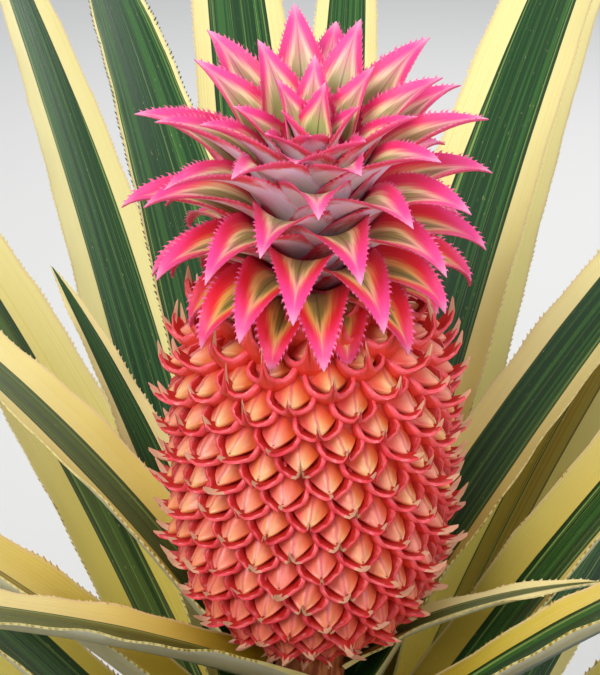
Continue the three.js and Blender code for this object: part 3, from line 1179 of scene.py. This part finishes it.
@dataclass
class Rosette:
    """The rosette of long channelled leaves round the stem.

    The habits are those of the leaves that show most, by their numbers from 1 at the foot.
    """

    leaves: int = 40
    lowest: float = 16
    highest: float = 260
    first_turn: float = 0.6
    foot_length: float = 410
    middle_gain: float = 400
    top_loss: float = 520
    width: float = 44
    middle_width: float = 15
    splay_width: float = -6
    leans: Ends = (56, 24)
    opened_leans: Ends = (14, 26)
    splay_lean: float = 15
    tips: Ends = (98, 70)
    opened_tips: Ends = (2, 20)
    splay_tip: float = -4
    thinnest: float = 3
    clearance: float = 0.78
    green_from: float = 0.85
    stem: Stem = field(default_factory=Stem)
    stalk: Stalk = field(default_factory=Stalk)
    habits: dict[int, Habit] = field(
        default_factory=lambda: {
            12: Habit(turn=3, lean=-7, tip=-16, length=1.05, cream=0.5),
            17: Habit(turn=-4, cream=0.4, gold=0.9),
            20: Habit(lean=5, tip=8, cream=0.35, gold=0.1),
            22: Habit(cream=0.3, gold=0.7),
            25: Habit(cream=0.62),
            27: Habit(lean=-1.5, tip=-12, cream=0.45),
            28: Habit(turn=-6, lean=-8, tip=-28, length=0.37, width=0.64, cream=0.5),
            30: Habit(turn=2, width=1.1, cream=0.5),
            31: Habit(lean=-3, tip=-5, cream=0.25, gold=0.6),
            33: Habit(turn=-4, width=1.05, cream=0.92),
            35: Habit(turn=2, lean=-2, tip=-9, cream=0.52),
            36: Habit(turn=-2.5, lean=-10, tip=6, cream=0.4, gold=0.1),
            37: Habit(lean=2, tip=6, cream=0.3, gold=0.8),
            38: Habit(lean=2, tip=-10, length=1.35),
            39: Habit(turn=1.5, lean=-4, tip=-7, width=1.06, cream=0.45, gold=0.2),
            40: Habit(turn=-1, lean=3, tip=6, length=0.33, width=0.52, cream=0.4, gold=0.2),
        }
    )

    def habit(self, index: int) -> Habit:
        """The leaf's own habit, or the plain rule."""
        return self.habits.get(index + 1, Habit())

    def blade(self, index: int) -> Blade:
        """Works out a leaf by the rosette's rule: the middle leaves are longest, those in front open wider.

        Args:
            index: The leaf's number, from 0 at the foot.

        Returns:
            The leaf's blade.
        """
        t = index / (self.leaves - 1)
        habit = self.habit(index)
        turn = math.radians(3 * wobble(index, Trait.LEAF_TURN) + habit.turn)
        azimuth = self.first_turn + index * GOLDEN_TURN + turn
        opened = facing(azimuth) ** 1.5
        full = self.foot_length + self.middle_gain * smooth(t, 0, 0.45) - self.top_loss * smooth(t, 0.5, 1.1)
        length = full * (1 + 0.05 * wobble(index, Trait.LEAF_LENGTH)) * habit.length
        height = mix(self.lowest, self.highest, t)
        thickness = max(self.thinnest, length / 98)
        upright = smooth(t, 0, 0.75)
        splay = smooth(t, 0.72, 1)
        lean = mix(*self.leans, upright) + self.splay_lean * splay + mix(*self.opened_leans, t) * opened
        lean = lean + habit.lean + wobble(index, Trait.LEAF_LEAN)
        tip = mix(*self.tips, upright) + self.splay_tip * splay + mix(*self.opened_tips, t) * opened + habit.tip
        carrier = self.stem.radius(height) if height < self.stem.height else self.stalk.bottom_radius
        radius = carrier + self.clearance + 0.36 * thickness * math.cos(math.radians(lean))
        broad = math.sin(math.pi * min(1, 0.1 + 0.85 * t))
        width = (self.width + self.middle_width * broad + self.splay_width * splay) * habit.width
        return Blade(
            azimuth=azimuth,
            height=height,
            radius=radius,
            length=length,
            thickness=thickness,
            width=width,
            foot_share=0.85,
            point_power=2.3,
            lean=math.radians(lean),
            bend=math.radians(tip - lean),
            bend_power=mix(1.2, 0.8, t),
            fold=0.62,
            foot_fold=0.425 * width / (radius + 2),
            fold_by=0.35,
            roll=math.radians(9) * wobble(index, Trait.LEAF_ROLL),
            sway=0.02 * length * wobble(index, Trait.LEAF_SWAY),
            middle_skin=2.6,
            edge_skin=0.9,
            ripple=0.7,
            number=index,
        )

    def colouring(self, index: int) -> dict[str, float]:
        """How a leaf is coloured, by its habit or dealt out by its number.

        Args:
            index: The leaf's number, from 0 at the foot.

        Returns:
            Its cream and its gold.
        """
        habit = self.habit(index)
        if habit.cream is not None:
            return {"cream": habit.cream, "gold": habit.gold}
        golden = max(0.0, wobble(index, Trait.GOLD) - 0.4)
        return {"cream": 0.56 + 0.12 * wobble(index, Trait.CREAM), "gold": 0.7 * golden}

    def build(self) -> list[Piece]:
        """Makes every leaf, and all their spines as one piece.

        Returns:
            The leaves, and then the spines.
        """
        skins = [
            StripedLeaf().material(),
            ScurfyLeaf().material(),
            PlainSkin("leaf margin", tint(228, 216, 150), 0.45).material(),
        ]
        tones = [
            PlainSkin("straw spine", tint(186, 158, 60), 0.45).material(),
            PlainSkin("cream spine", tint(226, 210, 150), 0.45).material(),
            PlainSkin("green spine", tint(50, 84, 36), 0.45).material(),
        ]
        spines = Spines(3.0, 1.15, 1.3, half_base=1.25, half_thick=0.4, start=0.1, end=0.985)
        variegated = [LeafSpine.STRAW, LeafSpine.CREAM, LeafSpine.CREAM, LeafSpine.CREAM]
        teeth = Shell()
        pieces = []
        for index in range(self.leaves):
            blade, colouring = self.blade(index), self.colouring(index)
            shell = Shell()
            blade.lay_on(shell, 60, 12, Cell(strips=3), seed=7.3 * index, **colouring)
            leaf = shell.make(f"striped_leaf_{index + 1:02d}", skins)
            pieces.append(show(leaf, "leaf", f"leaf_{index + 1:02d}"))
            green = colouring["cream"] > self.green_from
            spines.lay_on(teeth, blade, [LeafSpine.GREEN] if green else variegated)
        return [*pieces, show(teeth.make("leaf_spines", tones, sharp=80), "leaf")]


# ---- The fruit ----


class Flesh(IntEnum):
    """The slots of the bracts' faces."""

    BODY = 0
    CORAL = 1
    LIP = 2
    # painted shade: the lip's inner faces and underside, in the groove round the eye, are painted deep red
    HOLLOW_SHADE = 3
    DRY = 4
    DEEP_CORAL = 5
    ROSE_LIP = 6


@dataclass(frozen=True)
class Rail:
    """One of the lines that run along a bract from end to end, in millimetres.

    Its distance from the eye's middle is far, and more beside at the lowest point, less to each side by a power. Its
    height off the skin is sunk, and lift beside where the lip is full. Drawn is its share of the dry point.
    """

    far: float
    more: float
    power: float
    lift: float
    sunk: float
    drawn: float


@dataclass(frozen=True)
class Fruit:
    """The fruit: its flesh, the eyes of its fruitlets and the bracts that cup them.

    The fruitlets stand in opposite pairs, each pair half a golden turn on from the last.
    """

    foot: float = 273.6
    length: float = 145
    radius: float = 49
    foot_radius: float = 15
    top_radius: float = 21
    pairs: int = 138
    eye_reach: float = 7.9
    eye_height: float = 7.0
    eye_depth: float = 2.2
    eye_rings: tuple[float, ...] = (0, 0.22, 0.48, 0.7, 0.86, 0.95, 1, 1)
    eye_turns: tuple[float, ...] = (0, 32, 62, 88, 112, 134, 152, 166, 175, 180, 185, 194, 208, 226, 248, 272, 298, 328)
    spike: float = 8.6
    bract_end: float = 118
    spike_end: float = 42
    bract_turns: tuple[float, ...] = (-118, -98, -76, -54, -36, -22, -12, -5, 0, 5, 12, 22, 36, 54, 76, 98, 118)
    rails: tuple[Rail, ...] = (
        Rail(8.8, 4.2, 3, 0, -2.6, 0),
        Rail(9.3, 2.4, 2, 1.2, -1.2, 0.25),
        Rail(9.5, 1.4, 1, 4.2, -1.0, 0.8),
        Rail(9.2, 1.0, 1, 5.6, -1.0, 1),
        Rail(8.0, 0.5, 1, 5.7, -1.0, 1),
        Rail(7.5, 0.2, 1, 4.4, -1.2, 0.8),
        Rail(7.2, 0, 1, 0.8, -1.6, 0),
        Rail(6.6, 0, 1, 0, -2.8, 0),
    )

    @property
    def numbers(self) -> Array:
        """The fruitlets' numbers, in the first of three dimensions."""
        return np.arange(2 * self.pairs)[:, None, None]

    def flesh_radius(self, v: Array) -> Array:
        """The flesh's radius at share v of the length: rounder below, fuller at the shoulder.

        Args:
            v: Shares of the length.

        Returns:
            The radii in millimetres.
        """
        u = np.abs(2 * v - 1)
        below = self.radius * np.maximum(0, 1 - u**3.0) ** 0.5
        above = self.radius * np.maximum(0, 1 - u**4.0) ** (1 / 2.6)
        return np.where(v < 0.5, np.maximum(self.foot_radius, below), np.maximum(self.top_radius, above))

    def places(self) -> tuple[Array, Array, Array]:
        """Deals the fruitlets out in pairs on a spiral that gives each the same area of skin.

        Returns:
            The azimuth, share of the length and slant of each.
        """
        marks = np.arange(AREA_STEPS + 1) / AREA_STEPS
        rim = self.flesh_radius(marks)
        band = (rim[:-1] + rim[1:]) * np.hypot(np.diff(rim), self.length / AREA_STEPS)
        area = np.concatenate([[0], np.cumsum(band)])
        first = np.flatnonzero(rim > self.foot_radius + 2)[0]
        last = np.flatnonzero(rim > self.top_radius + 3)[-1]
        number = np.arange(2 * self.pairs)
        pair = number // 2
        v = np.interp(mix(area[first], area[last], (pair + 0.5) / self.pairs), area, marks)
        v = v + 0.0016 * wobble(number, Trait.FRUITLET_RISE)
        slope = (self.flesh_radius(v + 0.01) - self.flesh_radius(v - 0.01)) / (0.02 * self.length)
        azimuth = number % 2 * math.pi - pair * GOLDEN_TURN / 2 + 0.012 * wobble(number, Trait.FRUITLET_TURN)
        return azimuth, v, -np.arctan(slope)

    def on_skin(self, x: Array, y: Array, z: Array) -> Array:
        """Carries points from each fruitlet's own frame to the plant's frame.

        Args:
            x: Across the fruit, fruitlets by rows by columns.
            y: Up the fruit, over its skin.
            z: Out of the skin.

        Returns:
            The points, fruitlets by rows by columns by 3.
        """
        azimuth, v, slant = (a[:, None, None] for a in self.places())
        twist = 0.13 * wobble(self.numbers, Trait.FRUITLET_TWIST)
        x, y = x * np.cos(twist) - y * np.sin(twist), y * np.cos(twist) + x * np.sin(twist)
        radius = self.flesh_radius(v) + z * np.cos(slant) - y * np.sin(slant)
        height = self.foot + v * self.length + z * np.sin(slant) + y * np.cos(slant)
        return stood(azimuth, radius, x, height)

    def flesh(self) -> Piece:
        """Turns the flesh's outline, a little inside the eyes' feet.

        Returns:
            The flesh.
        """
        v, turn = stations(60), around(96)
        radius = self.flesh_radius(v) - 0.4 + 0.25 * np.sin(17 * turn + 40 * v)
        skin = PlainSkin("fruit flesh", tint(186, 40, 24), 0.45, 300.0).material()
        return show(turned("fruit_flesh", radius, self.foot + v * self.length, skin), "fruit", "fruit")

    def eyes(self) -> Piece:
        """Makes the eyes: each a shield of rings about a point low on it, a tent that bulges out, split by a seam.

        Each ring is the shield's rim, drawn in to the low point by a share q. The height falls from the peak by q to a
        power, which is steeper below, and by the distance from the seam, where it dips between two small ridges.

        Returns:
            The eyes.
        """
        numbers = self.numbers
        share = self.places()[1][:, None, None]
        q = np.array(self.eye_rings)[None, :, None]
        wide = q.copy()
        wide[:, -1] = 0
        turn = np.radians(self.eye_turns[::-1])[None, None]
        lower = np.cos(turn)
        reach = 1.06 * self.eye_reach * (1 + 0.05 * wobble(numbers, Trait.EYE_REACH))
        reach = reach * mix(0.84, 1, smooth(share, 0, 0.25))
        x_rim = reach * np.sin(turn) * mix(1.0, 0.86, smooth(-lower))
        pointed = 1 - np.abs(np.sin(turn)) ** 1.35
        y_rim = -reach * np.where(lower > 0, 0.83 * pointed, 0.86 * lower)
        low_point = -0.51 * reach
        x = x_rim * wide
        y = low_point + (y_rim - low_point) * wide
        peak = self.eye_height * (1 + 0.1 * wobble(numbers, Trait.EYE_PEAK)) * mix(0.8, 1, smooth(share, 0, 0.3))
        power = mix(1.5, 3.6, smooth(lower, -0.5, 0.6))
        z = (peak + self.eye_depth) * (1 - q**power) - self.eye_depth
        upper = smooth((y / reach + 0.5) / 0.3) * (1 - q**4)
        z = z - 0.5 * np.abs(x) * (1 - q**5) - 0.4 * upper * hump(x, 0, 0.5) + 0.3 * upper * hump(np.abs(x), 1.5, 0.9)
        lean = 0.16 * wobble(numbers, Trait.EYE_LEAN) * (y / reach + 0.4)
        points = self.on_skin(x + lean * reach, y, z)
        shell = Shell()
        shell.add_grids(
            points,
            Lattice(*points.shape[1:3]),
            0,
            np.stack([x / reach, y / reach], -1),
            [Cell.square(number, len(points), 0.04) for number in range(len(points))],
            {"tone": 0.5 + 0.5 * wobble(numbers, Trait.EYE_TONE), "foot": q, "low": smooth(1 - share / 0.75)},
        )
        return show(shell.make("fruit_eyes", [EyeSkin().material()], sharp=80), "fruit")

    def bract_points(self) -> Array:
        """Works out the bracts: each a fleshy lip round an eye's lower half whose middle is drawn out to a dry point.

        Each rail is an arc round the eye at its own distance and height. Near the middle it is drawn out by the
        point's length, which curls up over the eye and is ragged by a small chance for each rail and side.

        Returns:
            The points, fruitlets by turns by rails by 3.
        """
        numbers = self.numbers
        share = self.places()[1][:, None, None]
        turn = np.radians(self.bract_turns[::-1])[None, :, None]
        far, more, power, lift, sunk, drawn = np.array([astuple(rail) for rail in self.rails]).T[:, None, None]
        size = 1 + 0.04 * wobble(numbers, Trait.BRACT_SIZE) + 0.05 * wobble(numbers, Trait.BRACT_SKEW) * np.sin(turn)
        size = self.eye_reach / 8.8 * (size + 0.03 * wobble(numbers, Trait.BRACT_LOBES) * np.cos(3 * turn))
        low = np.maximum(0, np.cos(turn))
        reach = (far + more * low**power) * size
        lip = smooth((math.radians(self.bract_end) - np.abs(turn)) / 0.9)
        drawn = drawn * np.maximum(0, 1 - np.abs(turn) / math.radians(self.spike_end)) ** 2.0
        long = self.spike * (1 + 0.28 * wobble(numbers, Trait.POINT_LENGTH)) * mix(0.75, 1.1, smooth(share, 0, 0.3))
        long = long * (1 + 0.55 * smooth(share, 0.72, 0.92))
        curl = np.radians(38 + 16 * wobble(numbers, Trait.POINT_CURL))
        strand = np.arange(len(self.rails)) + 9 * (turn > 0) + 4 * (np.abs(turn) > 0.1)
        ragged = drawn * wobble(numbers, Trait.RAGGED + strand)
        x = 1.06 * reach * np.sin(turn) * (1 - 0.4 * drawn) + 0.35 * ragged
        x = x + 1.2 * drawn**2 * wobble(numbers, Trait.POINT_SWERVE)
        y = 0.4 * ragged - reach * mix(1, 0.78, low) * np.cos(turn) + long * drawn**3 * np.sin(curl) - 0.5 * drawn
        z = (lift * lip + sunk) * mix(0.85, 1, smooth(share, 0, 0.3)) + long * drawn * np.cos(curl)
        return self.on_skin(x, y, z)

    def bract_slots(self) -> Array:
        """Deals out the bracts' colours: lips deepen down the fruit, and points dry from the foot up.

        Returns:
            The slot of each cell, fruitlets by cells.
        """
        v = self.places()[1]
        turns = np.array(self.bract_turns)
        middle = np.abs((turns[:-1] + turns[1:]) / 2)
        # painted shade on the last four cells of each row, which face the eye and lie under the lip
        row = [Flesh.BODY, Flesh.CORAL, Flesh.LIP, Flesh.LIP] + [Flesh.HOLLOW_SHADE] * 4
        green = np.tile(row, (len(middle), 1))
        green[np.ix_(middle < 3, [3, 4])] = Flesh.DRY
        dry = green.copy()
        dry[np.ix_(middle < 9, [2, 3, 4])] = Flesh.DRY
        dry[np.ix_(middle < 18, [2, 3])] = Flesh.DRY
        chance, freshness = (
            0.5 + 0.5 * wobble(self.numbers[:, 0], trait) for trait in (Trait.DEEP_COLOUR, Trait.FRESH_POINT)
        )
        deep = chance > mix(0.05, 1.1, v)[:, None]
        fresh = freshness < mix(0.62, 1.1, smooth(v, 0.6, 0.85))[:, None]
        slots = np.where(fresh, green.ravel(), dry.ravel())
        slots[deep & (slots == Flesh.CORAL)] = Flesh.DEEP_CORAL
        slots[deep & (slots == Flesh.LIP)] = Flesh.ROSE_LIP
        return slots

    def bracts(self) -> Piece:
        """Makes the bracts, all as one piece.

        Returns:
            The bracts.
        """
        points = self.bract_points()
        shell = Shell()
        shell.add_grids(points, Lattice(*points.shape[1:3]), self.bract_slots())
        skins = {
            Flesh.BODY: PlainSkin("bract body", tint(218, 62, 38), 0.42),
            Flesh.CORAL: PlainSkin("bract coral", tint(230, 72, 62), 0.4),
            Flesh.LIP: PlainSkin("bract lip", tint(237, 86, 98), 0.34),
            # painted shade: deep red on the faces that turn to the eye and lie under the lip
            Flesh.HOLLOW_SHADE: PlainSkin("bract hollow shade", tint(184, 34, 30), 0.45),
            Flesh.DRY: PlainSkin("dry tip", tint(212, 158, 130), 0.7),
            Flesh.DEEP_CORAL: PlainSkin("bract deep coral", tint(208, 48, 50), 0.4),
            Flesh.ROSE_LIP: PlainSkin("bract rose lip", tint(227, 66, 82), 0.34),
        }
        finishes = [skins[flesh].material() for flesh in Flesh]
        return show(shell.make("fruit_bracts", finishes, sharp=70), "fruit")

    def build(self) -> list[Piece]:
        """Makes the flesh, the eyes and the bracts."""
        return [self.flesh(), self.eyes(), self.bracts()]


# ---- The crown ----


class CrownSpine(IntEnum):
    """The slots of the crown's spines."""

    RED = 0
    PINK = 1


@dataclass(frozen=True)
class Crown:
    """The tuft of rosy leaves on top of the fruit."""

    foot: float = 418.9
    stem_height: float = 46
    bottom_radius: float = 15
    top_radius: float = 8
    leaves: int = 72
    skirt: int = 12
    tiers: int = 3
    nod: float = 14
    lengths: Ends = (52, 66)
    opened_lengths: Ends = (5, -5)
    top_loss: float = 35
    skirt_loss: float = 15
    widths: Ends = (34, 38)
    top_narrowing: float = 9
    leans: Ends = (52, 10)
    bends: Ends = (104, 30)
    opened_bends: Ends = (-14, 16)

    def stem_radius(self, height: Number) -> Number:
        """The radius of the crown's own stem at a height above the crown's foot."""
        share = height / self.stem_height
        return mix(self.bottom_radius, self.top_radius, share) - 5.5 * smooth(share, 0.72, 1)

    def blade(self, index: int) -> Blade:
        """Works out a crown leaf: the lowest hang over the fruit's shoulder, the topmost stand up.

        Args:
            index: The leaf's number, from 0 at the crown's foot.

        Returns:
            The leaf's blade.
        """
        above = index - self.skirt
        t = max(0, above) / (self.leaves - 1 - self.skirt)
        low = max(0, -above) / self.skirt
        azimuth = above * GOLDEN_TURN + math.radians(4) * wobble(above, Trait.TUFT_TURN)
        opened = facing(azimuth)
        height = 3 + (self.stem_height - 4) * t - 1.5 * low
        grown = smooth(t, 0, 0.4)
        length = mix(*self.lengths, grown) + 3 * smooth(t, 0.42, 0.57) - self.top_loss * smooth(t, 0.62, 1)
        length = length + mix(*self.opened_lengths, opened) * grown - self.skirt_loss * low
        lean = mix(*self.leans, t**0.8) - 9 * smooth(t, 0.85, 1) + 12 * low
        bend = mix(*self.bends, t**0.9) + mix(*self.opened_bends, opened) * smooth(t, 0, 0.3)
        return Blade(
            azimuth=azimuth,
            height=self.foot + height,
            radius=self.stem_radius(height),
            length=length * (1 + 0.05 * wobble(index, Trait.TUFT_LENGTH)),
            thickness=1.8,
            width=mix(*self.widths, smooth(t, 0, 0.5)) - self.top_narrowing * smooth(t, 0.7, 1),
            foot_share=0.9,
            point_power=1.7,
            taper=1.0,
            lean=math.radians(lean),
            bend=math.radians(bend),
            bend_power=1.45,
            fold=0.85,
            foot_fold=0.9,
            fold_by=0.5,
            roll=math.radians(8) * wobble(index, Trait.TUFT_ROLL),
            sway=2.5 * wobble(index, Trait.TUFT_SWAY),
            middle_skin=1.5,
            edge_skin=0.5,
            ripple=0.35,
            droop=math.radians(16) * (1 - t),
            number=index + 100,
            nod=math.radians(self.nod),
            nod_height=self.foot,
        )

    def tuft(self) -> list[Piece]:
        """Makes the crown's leaves, a piece for each tier, and all their spines as one piece.

        Returns:
            The tiers, and then the spines.
        """
        skins = [
            RosyLeaf().material(),
            MauveLeaf().material(),
            PlainSkin("rosy margin", tint(238, 84, 128), 0.4).material(),
        ]
        tones = [
            PlainSkin("red spine", tint(214, 40, 70), 0.4).material(),
            PlainSkin("pink spine", tint(240, 110, 160), 0.4).material(),
        ]
        spines = Spines(1.9, 1.4, 1.5, half_base=0.75, half_thick=0.26, start=0.4, end=0.97, hooked=True)
        teeth = Shell()
        per_tier = self.leaves // self.tiers
        pieces = []
        for tier in range(self.tiers):
            shell = Shell()
            for number in range(per_tier):
                index = tier * per_tier + number
                blade, cell = self.blade(index), Cell.square(number, per_tier)
                blade.lay_on(shell, 22, 10, cell, seed=3.7 * index, rank=index / (self.leaves - 1))
                spines.lay_on(teeth, blade, [CrownSpine.RED, CrownSpine.PINK])
            leaves = shell.make(f"crown_leaves_{tier + 1}", skins, sharp=60)
            pieces.append(show(leaves, "crown", f"crown_tier_{tier + 1}"))
        return [*pieces, show(teeth.make("crown_spines", tones, sharp=80), "crown")]

    def core(self) -> Piece:
        """Turns the crown's own stem with the collar that its leaves grow from.

        Returns:
            The core.
        """
        share, turn = stations(30), around(48)
        radius = self.stem_radius(share * self.stem_height) + 1.5 + 0.8 * np.sin(5 * turn + 60 * share)
        skin = PlainSkin("crown core", tint(150, 60, 50), 0.6, 300.0).material()
        high = self.foot + share * self.stem_height
        core = turned("crown_core", radius, high, skin, math.radians(self.nod), self.foot)
        return show(core, "crown_stem", "crown_stem")

    def build(self) -> list[Piece]:
        """Makes the core, the leaves and their spines."""
        return [self.core(), *self.tuft()]


# ---- The studio ----


@dataclass(frozen=True)
class Lamp:
    """A soft square lamp that faces a point of the plant, in metres and watts."""

    name: str
    place: tuple[float, float, float]
    size: float
    power: float
    colour: tuple[float, float, float] = (1.0, 1.0, 1.0)


@dataclass(frozen=True)
class Studio:
    """A plain pale floor, soft light all round and a camera that looks slightly down at the fruit, in metres."""

    target: tuple[float, float, float] = (-0.004, 0.0, 0.398)
    distance: float = 0.725
    elevation: float = 21.0
    lens: float = 103.0
    sensor: float = 36.0
    nearest: float = 0.02
    farthest: float = 50.0
    floor_reach: float = 6.0
    floor_drop: float = 0.0005
    floor_marks: int = 13
    sky: Tint = (0.92, 0.95, 1.0, 1.0)
    sky_strength: float = 0.55
    lamps: tuple[Lamp, ...] = (
        Lamp("key", (-1.2, -1.7, 2.0), 1.4, 50.0, (1.0, 0.98, 0.95)),
        Lamp("fill", (1.5, -1.9, 0.9), 1.8, 30.0, (0.98, 0.98, 1.0)),
        Lamp("back", (0.6, 1.8, 1.9), 1.6, 24.0),
    )

    def look(self, made: Piece, place: tuple[float, float, float]) -> None:
        """Puts a lamp or camera in place, facing the target.

        Args:
            made: The lamp or camera.
            place: Where it goes, in metres.
        """
        made.location = place
        made.rotation_euler = (Vector(self.target) - Vector(place)).to_track_quat("-Z", "Y").to_euler()
        bpy.context.collection.objects.link(made)

    def floor(self) -> Piece:
        """Makes the floor, a flat square grid just under the plant.

        Returns:
            The floor.
        """
        marks = np.linspace(-self.floor_reach, self.floor_reach, self.floor_marks) / MM
        x, y = np.meshgrid(marks, marks)
        shell = Shell()
        points = np.stack([x, y, np.full_like(x, -self.floor_drop / MM)], -1)
        shell.add_grids(points[None], Lattice(*x.shape, closed=False), 0)
        floor = shell.make("floor", [PlainSkin("pale floor", tint(226, 225, 222), 0.8, 20.0).material()])
        return floor

    def light(self) -> None:
        """Hangs the lamps and makes the sky."""
        for lamp in self.lamps:
            light = bpy.data.lights.new(lamp.name, "AREA")
            light.size = lamp.size
            light.energy = lamp.power
            light.color = lamp.colour
            self.look(bpy.data.objects.new(lamp.name, light), lamp.place)
        world = bpy.data.worlds.new("sky")
        world.use_nodes = True
        sky = world.node_tree.nodes["Background"]
        sky.inputs[0].default_value = self.sky
        sky.inputs[1].default_value = self.sky_strength
        bpy.context.scene.world = world

    def camera(self) -> None:
        """Puts the camera in front of the plant, raised by the elevation."""
        lens = bpy.data.cameras.new("camera")
        lens.lens = self.lens
        lens.sensor_width = self.sensor
        lens.clip_start = self.nearest
        lens.clip_end = self.farthest
        camera = bpy.data.objects.new("camera", lens)
        rise = math.radians(self.elevation)
        x, y, z = self.target
        self.look(camera, (x, y - self.distance * math.cos(rise), z + self.distance * math.sin(rise)))
        bpy.context.scene.camera = camera

    def build(self) -> list[Piece]:
        """Makes the floor, the lamps, the sky and the camera, and shows colours as they are.

        Returns:
            The floor, the only piece that is a mesh.
        """
        bpy.context.scene.view_settings.view_transform = "Standard"
        floor = self.floor()
        self.light()
        self.camera()
        return [floor]


def main() -> None:
    """Builds the studio and the plant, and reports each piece."""
    logging.basicConfig(level=logging.INFO, format="%(name)s: %(message)s")
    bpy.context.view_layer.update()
    for part in (Studio(), Stem(), Stalk(), Rosette(), Fruit(), Crown()):
        for piece in part.build():
            LOG.info("%s: %d faces", piece.name, len(piece.data.polygons))


if __name__ == "__main__":
    main()
